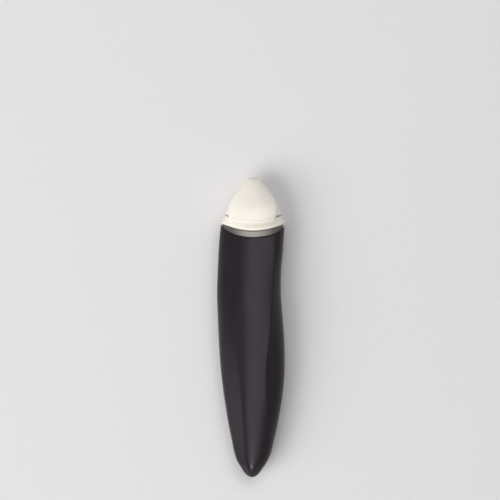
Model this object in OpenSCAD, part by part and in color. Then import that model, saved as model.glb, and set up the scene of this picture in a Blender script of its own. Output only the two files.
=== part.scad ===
// Chalk wheel marker: a sculpted two-shell grip holds a powder cartridge in a sleeve, and the cartridge
// carries a white nose with a toothed wheel in its tip. The pen lies on its back, tip towards +Y, front
// face up. Units are millimetres.

/* [Overall] */
// Length from the tail of the grip to the rim of the wheel
overall_length = 107; // [92:1:130]
// Length of the white head, from the low point of the grip's mouth to the rim of the wheel
head_length = 21.6; // [20:0.2:26]
// Reach of the grip's fullest side from the middle of the pen
grip_half = 12.5; // [11.5:0.1:15]
// Height of the front face above the joint of the two shells
grip_front = 9.4; // [9:0.1:12]
// Depth of the back below the joint of the two shells
grip_back = 8; // [7.8:0.1:10]

/* [Grip shells] */
// Thickness of the shells
wall = 1.6; // [1.2:0.1:2]
// Half the width of the flat strip that the pen rests on
rest_half = 3; // [1:0.5:4]
// Turn of the surface at a fully sharp crease, in degrees
crease_turn = 28; // [0:1:40]
// How far the mouth's sides rise above its middle
mouth_rise = 4; // [2:0.1:5]
// Thickness of a rib that holds the sleeve
rib_t = 1.4; // [0.8:0.1:2]
// Radius of a locating pin
pin_r = 0.8; // [0.6:0.05:1]
// Length of a locating pin above the joint
pin_length = 2; // [1:0.1:2.2]
// Height of the bosses that hold the pins
boss_h = 2.6; // [2.5:0.1:2.8]

/* [Sleeve and cartridge] */
// Outer radius of the powder tube
tube_r = 4.4; // [3.8:0.1:4.8]
// Thickness of the powder tube
tube_wall = 0.8; // [0.5:0.1:1]
// Thickness of the sleeve
sleeve_wall = 0.8; // [0.6:0.1:1]
// Length of the powder tube
tube_length = 49; // [38:1:52]
// Radius of the seal ring's cord
seal_r = 0.55; // [0.4:0.05:0.6]
// Length of each stopper or spigot inside the tube
plug_length = 4; // [3:0.5:6]
// Thickness of the tube's end flange
flange_t = 1.2; // [0.8:0.1:2]
// Share of the tube's height that the powder fills
fill_share = 0.72; // [0.3:0.01:0.95]

/* [Collar] */
// Stretch of neck that shows between the grip and the collar
neck_show = 2.4; // [1.6:0.1:3]
// Depth of the neck inside the grip's mouth
neck_depth = 3; // [2.5:0.1:4]
// Distance of the neck ring's outside from the outside of the mouth
ring_inset = 0.5; // [0.3:0.1:1]
// Height of the collar at its middle
collar_h = 3.5; // [2.8:0.1:4]
// How far the collar's lower edge rises at its sides
collar_rise = 3; // [2:0.1:4]
// How far the collar's front and back stand out past those of the mouth
collar_flare = 0.3; // [0.1:0.05:0.6]
// How far the collar's sides stand out past those of the mouth
collar_side = 0; // [-0.2:0.05:0.6]

/* [Nose] */
// Half the width of the nose where it meets the collar
nose_half = 10.3; // [9.5:0.1:10.8]
// Height of the nose's front face above its joint, at the collar
nose_front = 6.6; // [6:0.1:7]
// Depth of the nose's back below its joint, at the collar
nose_back = 6.3; // [5.8:0.1:6.8]
// How far the nose's edge rises at the sides
nose_rise = 2.6; // [1.5:0.1:4]
// Half the width of the nose's plug
plug_half = 7.6; // [6:0.1:8]
// Half the height of the nose's plug
plug_rise = 4.1; // [3.6:0.1:4.4]
// Depth of the nose's plug inside the collar
plug_depth = 5.6; // [4:0.1:6]
// Height of the opening slit at each side
slit_h = 0.5; // [0.4:0.05:1]
// Depth of the opening slit at the right, where it is deeper
slit_depth = 2.3; // [1:0.1:2.6]

/* [Wheel] */
// Radius of the marking wheel over its teeth
wheel_r = 3.6; // [3:0.1:4]
// Thickness of the marking wheel
wheel_t = 0.8; // [0.5:0.05:1]
// Number of teeth
teeth = 24; // [16:1:36]
// Depth of a tooth
tooth_depth = 0.5; // [0.3:0.05:0.7]
// How far the wheel stands out of the nose's tip
wheel_out = 0.4; // [0.2:0.05:0.8]
// Radius of the axle
axle_r = 0.7; // [0.5:0.05:0.9]
// Radius of the felt washers
washer_r = 2; // [1.4:0.1:2.4]
// Thickness of a felt washer
washer_t = 0.3; // [0.2:0.05:0.4]

/* [Clearances] */
// Gap around the neck in the grip's mouth
neck_gap = 0.4; // [0.3:0.05:0.6]
// Gap around the cartridge in the sleeve
sleeve_gap = 0.3; // [0.15:0.05:0.4]
// Gap around fixed pieces in their seats
seat_gap = 0.05; // [0.02:0.01:0.1]
// Running gap of the wheel on its axle
running_gap = 0.05; // [0.02:0.01:0.09]
// Gap between the wheel and the walls of its chamber
chamber_gap = 0.4; // [0.3:0.05:0.6]
// Gap around the nose's plug in the collar, and under the nose
nose_gap = 0.1; // [0.06:0.02:0.2]
// Gap between the seal ring and the sleeve
seal_gap = 0.05; // [0.02:0.01:0.1]

/* [Hidden] */
$fn = 64;
tip_y = overall_length / 2;
tail_y = -overall_length / 2;
mouth_y = tip_y - head_length;
collar_y = mouth_y + neck_show;
valley_y = collar_y + collar_h;
floor_y = mouth_y - neck_depth;
nose_y = valley_y + nose_gap;
nose_tip_y = tip_y - wheel_out;
wheel_y = tip_y - wheel_r;
// The head, the sleeve and the wheel share an axis a little to the right of the grip's middle
axis_x = 0.5;
// Half width at which the rims reach their full rise
rim_half = 12;
// Steps along the bands beside the creases, the front panel, a side of the back and its flat strip
band_steps = 5;
panel_steps = 8;
side_steps = 7;
strip_steps = 4;
grip_rings = 34;
nose_rings = 13;
// Rounded end of the grip and of the nose, measured along the pen
tail_round = 5;
tip_round = 4;
// Offset that leaves each end a small flat in place of a sharp point
end_flat = 0.1;
sleeve_bore = tube_r + sleeve_gap;
sleeve_r = sleeve_bore + sleeve_wall;
sleeve_top = floor_y - 0.2;
spigot_step = 3.4;
tube_top = floor_y - spigot_step;
tube_bottom = tube_top - tube_length;
sleeve_bottom = tube_bottom - flange_t - 0.4;
sleeve_floor = 1;
vent_r = 1.2;
tube_bore = tube_r - tube_wall;
spigot_r = tube_bore - seat_gap;
spigot_bore = 2.8;
seal_y = floor_y - spigot_step / 2;
seal_outer = sleeve_bore - seal_gap;
seal_centre = seal_outer - seal_r;
stop_ring_r = sleeve_r + 0.6;
stop_ring_t = 1;
rib_places = [mouth_y - 10, mouth_y - 32, tail_y + 32];
boss_places = [mouth_y - 26, mouth_y - 41];
tail_boss_y = tail_y + 20;
boss_r = pin_r + 0.6;
// Distance of a side boss's middle from the inside of the wall
boss_inset = 1.2;
// Distance of the ends of ribs and bosses from the outside of a shell
bite = 0.6 * wall;
// The shells are hollow from this place on
hollow_from = 0.1;
// Width of the closing face between them towards the tail, as a share of a section
joint_share = 0.9;
gasket_t = 0.8;
gasket_y = valley_y - plug_depth - gasket_t - seat_gap;
gasket_rim = 1.2;
throat_wall = 0.6;
throat_r = 3.1;
throat_end_r = 1.7;
throat_y = valley_y - plug_depth + 0.3;
chamber_r = wheel_r + chamber_gap;
chamber_half = wheel_t / 2 + washer_t + 2 * seat_gap;
slot_half = wheel_t / 2 + 0.2;
// The slits reach this far behind the joint and in front of it
slit_floor = 1.2;
slit_reach = 4.4;
// Each slit: [side, share of slit_depth]
SLITS = [[-1, 0.6], [1, 1]];
// Play of the neck ring at each end
ring_play = 0.1;
throat_end_y = wheel_y - chamber_r + 0.1;
axle_seat = 1;
// How far the plug runs on inside the nose
plug_root = 1.5;
cheek_pin_r = 0.6;
cheek_pin_length = 1.4;
cheek_pin_place = [6.2, 4.6];
edge_round = 0.4;
// Space left at the end of a pin and at each end of the powder
end_gap = 0.2;
// How far a cut runs on past a face, and the least that it does
over = 1;
sliver = 0.01;
// Length of a cut that leaves the collar towards the tip
long_cut = 20;
// A tooth of the wheel: [share of the pitch, share of the tooth's depth]
TOOTH = [[0, 0], [0.15, 0], [0.5, 1], [0.65, 1]];
// Flat left at the widest points of a piece that goes all the way round
side_flat = 0.3;

// Left and right reach of the grip, as shares of grip_half: [place from tail to mouth, left, right]
GRIP_OUTLINE = [[0, 0.25, 0.25], [0.02, 0.29, 0.29], [0.04, 0.325, 0.335], [0.07, 0.43, 0.45],
    [0.1, 0.5, 0.54], [0.17, 0.6, 0.655], [0.25, 0.705, 0.77], [0.35, 0.81, 0.88], [0.45, 0.892, 0.932],
    [0.55, 0.94, 0.926], [0.65, 0.973, 0.884], [0.76, 1, 0.826], [0.85, 0.98, 0.832], [0.93, 0.942, 0.89],
    [1, 0.885, 0.93]];
// Height of the front and depth of the back, as shares of grip_front and grip_back
GRIP_PROFILE = [[0, 0.32, 0.35], [0.04, 0.45, 0.51], [0.1, 0.6, 0.68], [0.17, 0.73, 0.82], [0.25, 0.84, 0.93],
    [0.35, 0.93, 1], [0.55, 1, 1.02], [0.76, 0.94, 1], [0.93, 0.83, 0.935], [1, 0.777, 0.888]];
// Each crease: [place, reach as a share of its side, height as a share of the front, sharpness]
LEFT_CREASE = [[0, 0.3, 0.93, 0.9], [0.17, 0.33, 0.9, 1], [0.35, 0.35, 0.89, 1], [0.47, 0.4, 0.86, 0.75],
    [0.6, 0.49, 0.81, 0.2], [0.8, 0.58, 0.76, 0], [1, 0.6, 0.74, 0]];
RIGHT_CREASE = [[0, 0.72, 0.62, 0.2], [0.17, 0.72, 0.64, 0.3], [0.3, 0.5, 0.8, 0.5], [0.44, 0.37, 0.9, 0.9],
    [0.55, 0.44, 0.87, 1], [0.65, 0.56, 0.81, 1], [0.85, 0.75, 0.66, 1], [0.93, 0.74, 0.67, 0.5],
    [1, 0.66, 0.72, 0.1]];
// The nose from collar to tip: [place, half width, front height, back depth] as shares of its own sizes
NOSE_OUTLINE = [[0, 1, 1, 1], [0.15, 0.936, 0.97, 0.97], [0.3, 0.858, 0.9, 0.9], [0.45, 0.766, 0.79, 0.8],
    [0.6, 0.652, 0.67, 0.69], [0.75, 0.519, 0.55, 0.57], [0.82, 0.455, 0.5, 0.52], [0.88, 0.42, 0.46, 0.48],
    [1, 0.44, 0.42, 0.43]];
// The nose's creases: [place, left reach, right reach, height as a share of the front, sharpness]
NOSE_CREASES = [[0, 0.86, 0.76, 0.58, 1], [0.22, 0.87, 0.85, 0.6, 1], [0.38, 0.91, 0.91, 0.6, 0.9],
    [0.57, 0.93, 0.9, 0.6, 0.8], [0.75, 0.88, 0.82, 0.64, 0.6], [1, 0.8, 0.75, 0.68, 0.2]];

// Smooth value of a table's column k at place t
function slope(table, i, k) =
    let (a = max(i - 1, 0), b = min(i + 1, len(table) - 1))
    (table[b][k] - table[a][k]) / (table[b][0] - table[a][0]);
function segment(table, t, i = 0) =
    i >= len(table) - 2 || t <= table[i + 1][0] ? i : segment(table, t, i + 1);
function along(table, t, k) =
    let (
        i = segment(table, t),
        d = table[i + 1][0] - table[i][0],
        u = (t - table[i][0]) / d,
        u2 = u * u,
        u3 = u2 * u
    )
    (2 * u3 - 3 * u2 + 1) * table[i][k] + (u3 - 2 * u2 + u) * d * slope(table, i, k)
        + (3 * u2 - 2 * u3) * table[i + 1][k] + (u3 - u2) * d * slope(table, i + 1, k);

function ease(t) = let (u = min(1, max(0, t))) u * u * (3 - 2 * u);
// Share of the full width left at a distance from a rounded end
function rounding(distance, reach) = sqrt(1 - pow(1 - min(1, (distance + end_flat) / reach), 2));
// A rim's rise at x, for a rise of h at rim_half from the axis
function rise(x, h) = h * pow((x - axis_x) / rim_half, 2);

// A section: [left, right, front, back, left crease, right crease], where each crease is
// [x, height, sharpness]
function grip_section(t) =
    let (
        r = rounding(t * (mouth_y - tail_y), tail_round),
        left = -grip_half * along(GRIP_OUTLINE, t, 1) * r,
        right = grip_half * along(GRIP_OUTLINE, t, 2) * r,
        front = grip_front * along(GRIP_PROFILE, t, 1) * r,
        back = grip_back * min(1, along(GRIP_PROFILE, t, 2)) * r
    )
    [left, right, front, back,
        [left * along(LEFT_CREASE, t, 1), front * along(LEFT_CREASE, t, 2), along(LEFT_CREASE, t, 3)],
        [right * along(RIGHT_CREASE, t, 1), front * along(RIGHT_CREASE, t, 2), along(RIGHT_CREASE, t, 3)]];
function nose_section(q) =
    let (
        r = rounding((1 - q) * (nose_tip_y - nose_y), tip_round),
        half = nose_half * along(NOSE_OUTLINE, q, 1) * r,
        front = nose_front * along(NOSE_OUTLINE, q, 2) * r,
        back = nose_back * along(NOSE_OUTLINE, q, 3) * r,
        height = front * along(NOSE_CREASES, q, 3),
        sharpness = along(NOSE_CREASES, q, 4)
    )
    [axis_x - half, axis_x + half, front, back,
        [axis_x - half * along(NOSE_CREASES, q, 1), height, sharpness],
        [axis_x + half * along(NOSE_CREASES, q, 2), height, sharpness]];
// The collar at its widest, in the middle of the head
function collar_section() =
    let (
        s = grip_section(1),
        half = (s[1] - s[0]) / 2 + collar_side,
        front = s[2] + collar_flare,
        height = 0.74 * front
    )
    [axis_x - half, axis_x + half, front, s[3] + collar_flare, [axis_x - 0.63 * half, height, 0],
        [axis_x + 0.63 * half, height, 0]];
// A section between two others
function between(a, b, share) = (1 - share) * a + share * b;

function bezier(p, t) =
    pow(1 - t, 3) * p[0] + 3 * t * pow(1 - t, 2) * p[1] + 3 * t * t * (1 - t) * p[2] + pow(t, 3) * p[3];
function curve(p, n) = [for (i = [0:n - 1]) bezier(p, i / n)];
function raised(curve, z) = [for (p = curve) p + [0, z]];
function reversed(list) = [for (i = [len(list) - 1:-1:0]) list[i]];

// The band from a crease down to the widest point of its side
function band(crease, turn, edge_x, side) =
    let (
        a = turn + crease[2] * crease_turn,
        reach = 0.4 * norm([edge_x - crease[0], crease[1]])
    )
    [[crease[0], crease[1]], [crease[0] + side * reach * cos(a), crease[1] - reach * sin(a)],
        [edge_x, 0.45 * crease[1]], [edge_x, 0]];

// The front of a section from left to right, drawn in all round by inset
function front_curve(s, inset = 0) =
    let (
        left = s[0] + inset,
        right = s[1] - inset,
        front = s[2] - inset,
        narrow = (right - left) / (s[1] - s[0]),
        low = front / s[2],
        middle = (s[0] + s[1]) / 2,
        lc = [middle + (s[4][0] - middle) * narrow, s[4][1] * low, s[4][2]],
        rc = [middle + (s[5][0] - middle) * narrow, s[5][1] * low, s[5][2]],
        lift = (front - (lc[1] + rc[1]) / 2) / 0.75,
        third = (rc[0] - lc[0]) / 3,
        turn = atan2(lift, third)
    )
    concat(
        curve(reversed(band(lc, turn, left, -1)), band_steps),
        curve([[lc[0], lc[1]], [lc[0] + third, lc[1] + lift], [rc[0] - third, rc[1] + lift], [rc[0], rc[1]]],
            panel_steps),
        curve(band(rc, turn, right, 1), band_steps),
        [[right, 0]]
    );

// The back of a section from left to right, with a flat strip along its middle
function back_curve(s, inset = 0) =
    let (
        left = s[0] + inset,
        right = s[1] - inset,
        back = -(s[3] - inset),
        middle = (left + right) / 2,
        strip = min(rest_half, (right - left) / 5),
        a = middle - strip,
        b = middle + strip
    )
    concat(
        curve([[left, 0], [left, 0.55 * back], [a - 0.5 * (a - left), back], [a, back]], side_steps),
        [for (i = [0:strip_steps - 1]) [a + (b - a) * i / strip_steps, back]],
        curve([[b, back], [b + 0.5 * (right - b), back], [right, 0.55 * back], [right, 0]], side_steps),
        [[right, 0]]
    );

// The joint plane of a section, from left to right, under the points of one of its curves
function joint_line(c) =
    let (middle = (c[0][0] + c[len(c) - 1][0]) / 2)
    [for (p = c) [middle + joint_share * (p[0] - middle), 0]];

// A ring of points in space at y, with a rim that rises by h at rim_half
function ring(upper, lower, y, h) =
    [for (p = concat(upper, reversed(lower))) [p[0], y + rise(p[0], h), p[1]]];

// A closed skin over rings of equal length, each an upper curve and a lower curve
module skin(rings) {
    points = [for (r = rings) each r];
    n = len(rings[0]);
    last = len(rings) - 1;
    half = n / 2;
    sides = [for (r = [0:last - 1], i = [0:n - 1])
        let (a = r * n + i, b = r * n + (i + 1) % n)
        each [[a, b + n, b], [a, a + n, b + n]]];
    caps = [for (r = [0, last], i = [0:half - 2])
        let (
            a = r * n + i,
            b = r * n + n - 1 - i,
            pair = [[a, b, b - 1], [a, b - 1, a + 1]],
            other = [[a, b, a + 1], [b, b - 1, a + 1]],
            best = fullness(pair, points) > fullness(other, points) ? pair : other
        )
        each (r == last ? best : [for (f = best) reversed(f)])];
    polyhedron(points = points, faces = concat(sides, caps));
}

// Area of the smaller of two triangles, so that a cap takes the fuller pair
function triangle_area(f, points) = norm(cross(points[f[1]] - points[f[0]], points[f[2]] - points[f[0]])) / 2;
function fullness(pair, points) = min(triangle_area(pair[0], points), triangle_area(pair[1], points));

// Places along the grip, closer together towards the tail
function grip_place(i) = pow(i / (grip_rings - 1), 1.5);
function grip_ring_y(t) = tail_y + t * (mouth_y - tail_y);
function grip_ring_rise(t) = mouth_rise * ease((t - 0.75) / 0.25);
function hollow(t) = t >= hollow_from;

// Centres the widest points on X = 0 and stands the back on Z = 0
right_reach = max(grip_half * max([for (p = GRIP_OUTLINE) p[2]]), collar_section()[1]);
module in_place() {
    translate([(grip_half - right_reach) / 2, 0, grip_back]) children();
}

// Puts children that stand along +Z at a place on the pen's axis, pointing to the tip
module on_axis(y) {
    translate([axis_x, y, 0]) rotate([-90, 0, 0]) children();
}

module rib(y, outline) {
    translate([0, y + rib_t / 2, 0]) rotate([90, 0, 0]) linear_extrude(rib_t) difference() {
        polygon(outline);
        translate([axis_x, 0]) circle(sleeve_r + seat_gap);
    }
}

function section_at(y) = grip_section((y - tail_y) / (mouth_y - tail_y));
function boss_x(y, side) =
    let (s = section_at(y))
    side < 0 ? s[0] + wall + boss_inset : s[1] - wall - boss_inset;
// Bosses: [x, y, height in the front shell, depth in the back shell]
BOSSES = concat(
    [for (y = boss_places, side = [-1, 1]) [boss_x(y, side), y, boss_h, boss_h]],
    [let (s = section_at(tail_boss_y)) [(s[4][0] + s[5][0]) / 2, tail_boss_y, s[2] - bite, s[3] - bite]]
);

module grip_front_shell() {
    color([0.2, 0.17, 0.2]) in_place() difference() {
        union() {
            skin([for (i = [0:grip_rings - 1])
                let (
                    t = grip_place(i),
                    s = grip_section(t),
                    outer = front_curve(s),
                    inner = hollow(t) ? front_curve(s, wall) : joint_line(outer)
                )
                ring(outer, inner, grip_ring_y(t), grip_ring_rise(t))]);
            for (y = rib_places) rib(y, front_curve(section_at(y), bite));
            for (b = BOSSES) translate([b[0], b[1], 0]) cylinder(r = boss_r, h = b[2]);
        }
        for (b = BOSSES) translate([b[0], b[1], -over])
            cylinder(r = pin_r + seat_gap, h = over + pin_length + end_gap);
    }
}

module grip_back_shell() {
    color([0.18, 0.16, 0.18]) in_place() {
        skin([for (i = [0:grip_rings - 1])
            let (
                t = grip_place(i),
                s = grip_section(t),
                outer = back_curve(s),
                inner = hollow(t) ? back_curve(s, wall) : joint_line(outer)
            )
            ring(inner, outer, grip_ring_y(t), grip_ring_rise(t))]);
        for (y = rib_places) rib(y, back_curve(section_at(y), bite));
        for (b = BOSSES) translate([b[0], b[1], -b[3]]) {
            cylinder(r = boss_r, h = b[3]);
            cylinder(r = pin_r, h = b[3] + pin_length);
        }
    }
}

module socket_sleeve() {
    color([0.75, 0.75, 0.78]) in_place() difference() {
        union() {
            on_axis(sleeve_bottom - sleeve_floor)
                cylinder(r = sleeve_r, h = sleeve_top - sleeve_bottom + sleeve_floor);
            for (side = [-1, 1])
                on_axis(rib_places[1] + side * (rib_t / 2 + seat_gap + stop_ring_t / 2) - stop_ring_t / 2)
                    cylinder(r = stop_ring_r, h = stop_ring_t);
        }
        on_axis(sleeve_bottom) cylinder(r = sleeve_bore, h = sleeve_top - sleeve_bottom + over);
        on_axis(sleeve_bottom - sleeve_floor - over) cylinder(r = vent_r, h = sleeve_floor + 2 * over);
    }
}

module cartridge_tube() {
    color([0.9, 0.93, 0.95]) in_place() difference() {
        on_axis(tube_bottom) cylinder(r = tube_r, h = tube_length);
        on_axis(tube_bottom - over) cylinder(r = tube_bore, h = tube_length + 2 * over);
    }
}

module tube_end_plug() {
    color([0.85, 0.85, 0.82]) in_place() difference() {
        union() {
            on_axis(tube_bottom - flange_t) cylinder(r = tube_r, h = flange_t);
            on_axis(tube_bottom - flange_t) cylinder(r = spigot_r, h = flange_t + plug_length);
        }
        on_axis(tube_bottom) cylinder(r = spigot_bore, h = plug_length + over);
    }
}

module chalk_charge() {
    color([0.97, 0.97, 0.96]) in_place() intersection() {
        on_axis(tube_bottom + plug_length + end_gap)
            cylinder(r = tube_bore - seat_gap, h = tube_length - 2 * (plug_length + end_gap));
        translate([axis_x - tube_r, tube_bottom, -tube_r])
            cube([2 * tube_r, tube_length, tube_r + tube_bore * (2 * fill_share - 1)]);
    }
}

// A flat outline with round ends, standing along +Z
module stadium(half, rise, height) {
    linear_extrude(height) {
        for (side = [-1, 1]) translate([side * (half - rise), 0]) circle(rise);
        square([2 * (half - rise), 2 * rise], center = true);
    }
}

// A ring of a piece that goes all the way round
function closed_ring(s, inset, y, h) =
    ring(raised(front_curve(s, inset), side_flat / 2), raised(back_curve(s, inset), -side_flat / 2), y, h);

// The neck's distance inside the mouth's outside
neck_inset = wall + neck_gap;

module cartridge_collar() {
    mouth = grip_section(1);
    wide = collar_section();
    top = nose_section(0);
    // Its rings: [y, section, inset, rise]
    steps = [
        [floor_y, mouth, neck_inset + 0.3, 0],
        [mouth_y - 0.5, mouth, neck_inset, mouth_rise / 2],
        [collar_y + 0.25, mouth, neck_inset, collar_rise],
        [collar_y + 0.05, wide, 0.3, collar_rise],
        [collar_y + 0.25, wide, 0.06, collar_rise],
        [collar_y + 0.6, wide, 0, collar_rise],
        [collar_y + 0.33 * collar_h, between(wide, top, 0.12), 0, collar_rise],
        [collar_y + 0.5 * collar_h, between(wide, top, 0.45), 0, (collar_rise + nose_rise) / 2],
        [collar_y + 0.66 * collar_h, between(wide, top, 0.82), 0, nose_rise],
        [collar_y + 0.82 * collar_h, between(wide, top, 0.97), 0, nose_rise],
        [valley_y, top, 0, nose_rise]
    ];
    color([0.94, 0.92, 0.86]) in_place() difference() {
        union() {
            skin([for (p = steps) closed_ring(p[1], p[2], p[0], p[3])]);
            on_axis(tube_top) cylinder(r = tube_r, h = spigot_step + over);
            on_axis(tube_top - plug_length) cylinder(r = spigot_r, h = plug_length + over);
        }
        on_axis(gasket_y) stadium(plug_half + nose_gap, plug_rise + nose_gap, long_cut);
        on_axis(tube_top - plug_length - over) cylinder(r = spigot_bore, h = long_cut);
        on_axis(seal_y) rotate_extrude() translate([seal_centre + seal_r, 0])
            square([4 * seal_r, 2 * seal_r + 2 * seat_gap], center = true);
    }
}

// A ring that fills the neck's waist between the grip and the collar
module neck_ring() {
    s = grip_section(1);
    color([0.66, 0.63, 0.58]) in_place() difference() {
        skin([closed_ring(s, ring_inset, mouth_y + ring_play, mouth_rise),
            closed_ring(s, ring_inset, collar_y - ring_play, collar_rise)]);
        skin([closed_ring(s, neck_inset - seat_gap, mouth_y - over, mouth_rise),
            closed_ring(s, neck_inset - seat_gap, collar_y + over, collar_rise)]);
    }
}

module seal_ring() {
    color([0.15, 0.15, 0.15]) in_place() on_axis(seal_y)
        rotate_extrude() translate([seal_centre, 0]) circle(seal_r);
}

module nose_gasket() {
    color([0.6, 0.6, 0.62]) in_place() difference() {
        on_axis(gasket_y + seat_gap / 2) stadium(plug_half, plug_rise, gasket_t);
        on_axis(gasket_y - over)
            stadium(plug_half - gasket_rim, plug_rise - gasket_rim, gasket_t + 2 * over);
    }
}

// Rings of the nose, with a small round at the edge beside the collar
function nose_steps() = concat(
    [[0, 0, edge_round], [0.3 * edge_round, 0, 0.3 * edge_round]],
    [for (i = [0:nose_rings - 1]) let (q = sin(90 * i / (nose_rings - 1))) [q == 0 ? edge_round : 0, q, 0]]
);
function nose_ring_y(p) = nose_y + p[0] + p[1] * (nose_tip_y - nose_y);
function nose_ring_rise(p) = nose_rise * pow(1 - p[1], 1.5);

// A slit leaves the nose's edge short of the collar at one side
module slit_outline(side, depth) {
    inner = axis_x + side * (nose_half - depth);
    outer = axis_x + side * (nose_half + over);
    inner_y = nose_y + rise(inner, nose_rise);
    outer_y = nose_y + rise(outer, nose_rise);
    polygon([[inner, inner_y + slit_h], [outer, outer_y + slit_h], [outer, valley_y], [inner, valley_y]]);
}

module nose_cavity() {
    translate([axis_x, wheel_y, -slot_half]) cylinder(r = chamber_r, h = 2 * slot_half);
    translate([axis_x, wheel_y, -chamber_half]) cylinder(r = washer_r + seat_gap, h = 2 * chamber_half);
    on_axis(throat_y - over) cylinder(r = throat_r + seat_gap, h = over + sliver);
    on_axis(throat_y)
        cylinder(r1 = throat_r + seat_gap, r2 = throat_end_r + seat_gap, h = throat_end_y - throat_y);
    translate([axis_x, wheel_y, -chamber_half - axle_seat])
        cylinder(r = axle_r + seat_gap, h = 2 * (chamber_half + axle_seat));
    for (p = SLITS) translate([0, 0, -slit_floor])
        linear_extrude(slit_floor + slit_reach) slit_outline(p[0], p[1] * slit_depth);
}

module cheek_pins(r, length) {
    for (side = [-1, 1])
        translate([axis_x + side * cheek_pin_place[0], valley_y + cheek_pin_place[1], -cheek_pin_length])
            cylinder(r = r, h = cheek_pin_length + length);
}

// The whole nose with its plug, less what it is hollowed for
module nose_body() {
    difference() {
        union() {
            skin([for (p = nose_steps())
                closed_ring(nose_section(p[1]), p[2], nose_ring_y(p), nose_ring_rise(p))]);
            on_axis(valley_y - plug_depth) stadium(plug_half, plug_rise, plug_depth + plug_root);
        }
        nose_cavity();
    }
}

// One side of the nose's joint plane, front = 1 or back = -1
module cheek_half(side) {
    intersection() {
        nose_body();
        translate([-2 * nose_half, 0, side > 0 ? 0 : -2 * nose_back])
            cube([4 * nose_half, overall_length, 2 * (side > 0 ? nose_front : nose_back)]);
    }
}

module nose_front_cheek() {
    color([0.96, 0.94, 0.9]) in_place() difference() {
        cheek_half(1);
        cheek_pins(cheek_pin_r + seat_gap, cheek_pin_length + end_gap);
    }
}

module nose_back_cheek() {
    color([0.93, 0.91, 0.87]) in_place() {
        cheek_half(-1);
        cheek_pins(cheek_pin_r, cheek_pin_length);
    }
}

module powder_throat() {
    color([0.8, 0.82, 0.85]) in_place() difference() {
        on_axis(throat_y) cylinder(r1 = throat_r, r2 = throat_end_r, h = throat_end_y - throat_y);
        on_axis(throat_y - sliver) cylinder(r1 = throat_r - throat_wall, r2 = throat_end_r - throat_wall,
            h = throat_end_y - throat_y + 2 * sliver);
        translate([axis_x, wheel_y, -throat_r]) cylinder(r = chamber_r, h = 2 * throat_r);
    }
}

module wheel_axle() {
    color([0.7, 0.7, 0.72]) in_place() translate([axis_x, wheel_y, seat_gap - chamber_half - axle_seat])
        cylinder(r = axle_r, h = 2 * (chamber_half + axle_seat - seat_gap));
}

module felt_washer(z) {
    translate([axis_x, wheel_y, z]) difference() {
        cylinder(r = washer_r, h = washer_t);
        translate([0, 0, -over]) cylinder(r = axle_r + seat_gap, h = washer_t + 2 * over);
    }
}

module felt_washer_front() {
    color([0.85, 0.84, 0.8]) in_place() felt_washer(wheel_t / 2 + seat_gap);
}

module felt_washer_back() {
    color([0.85, 0.84, 0.8]) in_place() felt_washer(-wheel_t / 2 - seat_gap - washer_t);
}

module marking_wheel() {
    color([0.8, 0.8, 0.82]) in_place() translate([axis_x, wheel_y, -wheel_t / 2]) difference() {
        linear_extrude(wheel_t) polygon([for (i = [0:teeth - 1], p = TOOTH)
            let (a = 360 * (i + p[0] - TOOTH[1][0] / 2) / teeth)
            (wheel_r - p[1] * tooth_depth) * [sin(a), cos(a)]]);
        translate([0, 0, -over]) cylinder(r = axle_r + running_gap, h = wheel_t + 2 * over);
    }
}

grip_front_shell();
grip_back_shell();
socket_sleeve();
cartridge_tube();
tube_end_plug();
cartridge_collar();
neck_ring();
seal_ring();
chalk_charge();
nose_gasket();
nose_front_cheek();
nose_back_cheek();
powder_throat();
wheel_axle();
felt_washer_front();
felt_washer_back();
marking_wheel();
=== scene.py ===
"""Looks of the chalk wheel marker: a dark sculpted grip and a white head, on its back, tip towards +Y."""

import math

import bmesh
import bpy
import numpy as np
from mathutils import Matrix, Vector, noise


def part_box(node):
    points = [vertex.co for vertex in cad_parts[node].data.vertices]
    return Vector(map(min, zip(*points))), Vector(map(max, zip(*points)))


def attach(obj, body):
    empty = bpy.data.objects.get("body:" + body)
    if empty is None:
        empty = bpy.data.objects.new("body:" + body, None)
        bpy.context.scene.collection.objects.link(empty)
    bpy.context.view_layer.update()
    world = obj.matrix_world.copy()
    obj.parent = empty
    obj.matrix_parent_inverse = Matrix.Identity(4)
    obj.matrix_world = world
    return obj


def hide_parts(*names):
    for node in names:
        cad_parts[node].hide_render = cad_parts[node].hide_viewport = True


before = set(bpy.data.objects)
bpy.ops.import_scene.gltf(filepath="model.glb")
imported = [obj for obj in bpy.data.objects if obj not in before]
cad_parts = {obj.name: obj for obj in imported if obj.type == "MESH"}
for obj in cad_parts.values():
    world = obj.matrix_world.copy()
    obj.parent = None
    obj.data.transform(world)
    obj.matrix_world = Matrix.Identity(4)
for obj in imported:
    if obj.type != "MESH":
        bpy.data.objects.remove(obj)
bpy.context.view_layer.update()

MM = 0.001

# Sizes in millimetres, as the part's construction has them: the whole pen and the grip's shells
OVERALL = 107.0
HEAD = 21.6
GRIP_HALF = 12.5
GRIP_BACK = 8.0
WALL = 1.6
REST_HALF = 3.0
AXIS_X = 0.5
# Half width at which the rims reach their full rise
RIM_HALF = 12.0
# Rounded ends: their lengths, the offset that leaves each a small flat, and the last ring's distance
TAIL_ROUND = 5.0
TIP_ROUND = 4.0
END_FLAT = 0.1
END_STOP = 0.01
# Height of the flat side at the widest points of the head's pieces and the neck ring
SIDE_FLAT = 0.3
# Width of a closing face on the joint plane, as a share of its section's
JOINT_SHARE = 0.9
RIB_T = 1.4
PIN_R = 0.8
PIN_LENGTH = 2.0
BOSS_R = 1.4
BOSS_H = 2.6
BOSS_INSET = 1.2
# Distance of the ends of ribs and bosses from the outside of a shell
BITE = 0.6 * WALL
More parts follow.
